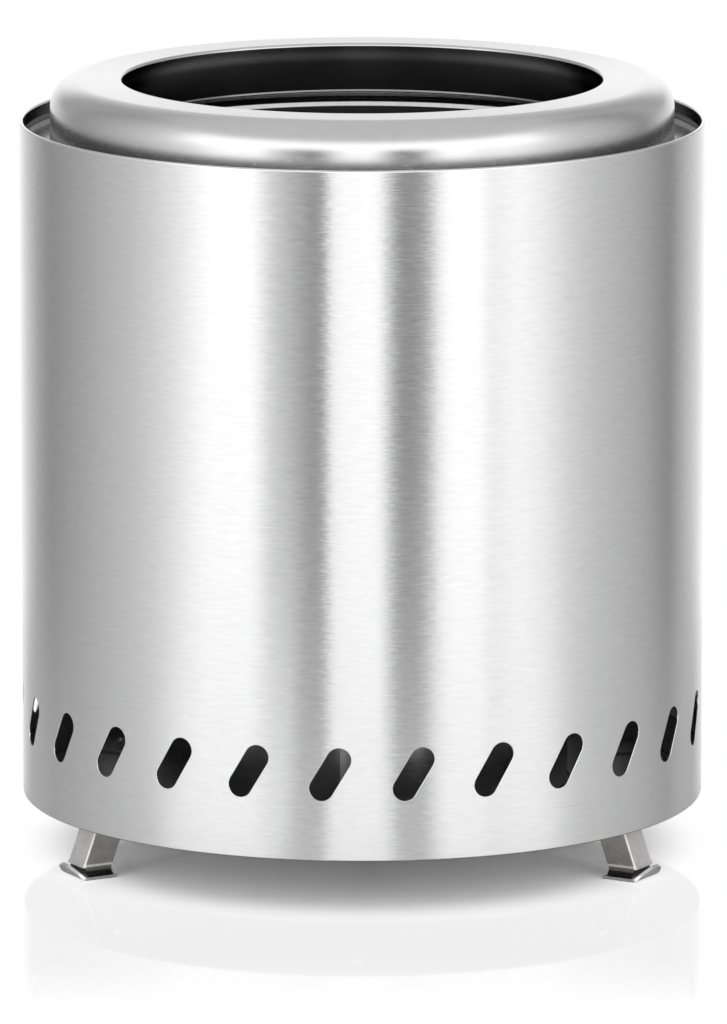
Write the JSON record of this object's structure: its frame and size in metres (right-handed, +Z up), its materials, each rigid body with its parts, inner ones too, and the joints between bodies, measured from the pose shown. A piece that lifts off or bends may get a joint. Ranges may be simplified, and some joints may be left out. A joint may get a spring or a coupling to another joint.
{
  "type": "smokeless fire pit",
  "caption": "Round double-walled steel fire pit with a slanted row of air slots, a loose flame ring, a lift-out grate and ash pan, and splayed legs.",
  "frame": {"origin": "on the floor, at the centre of the fire pit, under its vertical axis", "axes": "+Z up along the axis, -Y towards the front, +X to the right seen from the front"},
  "size_m": [0.38, 0.38, 0.4335],
  "materials": {
    "brushed_shell": "stainless steel, brushed round the shell",
    "satin_ring": "stainless steel, fine satin",
    "satin_ledge": "stainless steel, fine satin",
    "pot_steel": "stainless steel, mill finish",
    "grate_steel": "stainless steel, mill finish, perforated",
    "pan_steel": "stainless steel, mill finish",
    "plated_sheet": "plated sheet steel",
    "leg_steel": "folded stainless steel with slight heat tint",
    "pad_steel": "polished pressed steel",
    "zinc_fastener": "bright zinc plate"
  },
  "bodies": {
    "fire_pit": {"outer_shell": "brushed_shell", "base_plate": "plated_sheet", "top_ledge": "satin_ledge", "fire_pot": "pot_steel", "leg_1": "leg_steel", "leg_2": "leg_steel", "leg_3": "leg_steel", "foot_pad_1": "pad_steel", "foot_pad_2": "pad_steel", "foot_pad_3": "pad_steel", "pot_bracket_1": "plated_sheet", "pot_bracket_2": "plated_sheet", "pot_bracket_3": "plated_sheet", "pot_rivet_1": "zinc_fastener", "pot_rivet_2": "zinc_fastener", "pot_rivet_3": "zinc_fastener", "leg_screw_1": "zinc_fastener", "leg_screw_2": "zinc_fastener", "leg_screw_3": "zinc_fastener", "leg_screw_4": "zinc_fastener", "leg_screw_5": "zinc_fastener", "leg_screw_6": "zinc_fastener", "leg_nut_1": "zinc_fastener", "leg_nut_2": "zinc_fastener", "leg_nut_3": "zinc_fastener", "leg_nut_4": "zinc_fastener", "leg_nut_5": "zinc_fastener", "leg_nut_6": "zinc_fastener", "bracket_screw_1": "zinc_fastener", "bracket_screw_2": "zinc_fastener", "bracket_screw_3": "zinc_fastener", "bracket_nut_1": "zinc_fastener", "bracket_nut_2": "zinc_fastener", "bracket_nut_3": "zinc_fastener"},
    "flame_ring": {"flame_ring": "satin_ring"},
    "ash_pan": {"ash_pan": "pan_steel"},
    "fire_grate": {"fire_grate": "grate_steel"}
  },
  "joints": [
    {"name": "flame_ring_lift", "type": "slide", "parent": "fire_pit", "child": "flame_ring", "axis": [0, 0, 1], "range_m": [0, 0.08]},
    {"name": "ash_pan_lift", "type": "slide", "parent": "fire_pit", "child": "ash_pan", "axis": [0, 0, 1], "range_m": [0, 0.41]},
    {"name": "fire_grate_lift", "type": "slide", "parent": "ash_pan", "child": "fire_grate", "axis": [0, 0, 1], "range_m": [0, 0.35]}
  ]
}
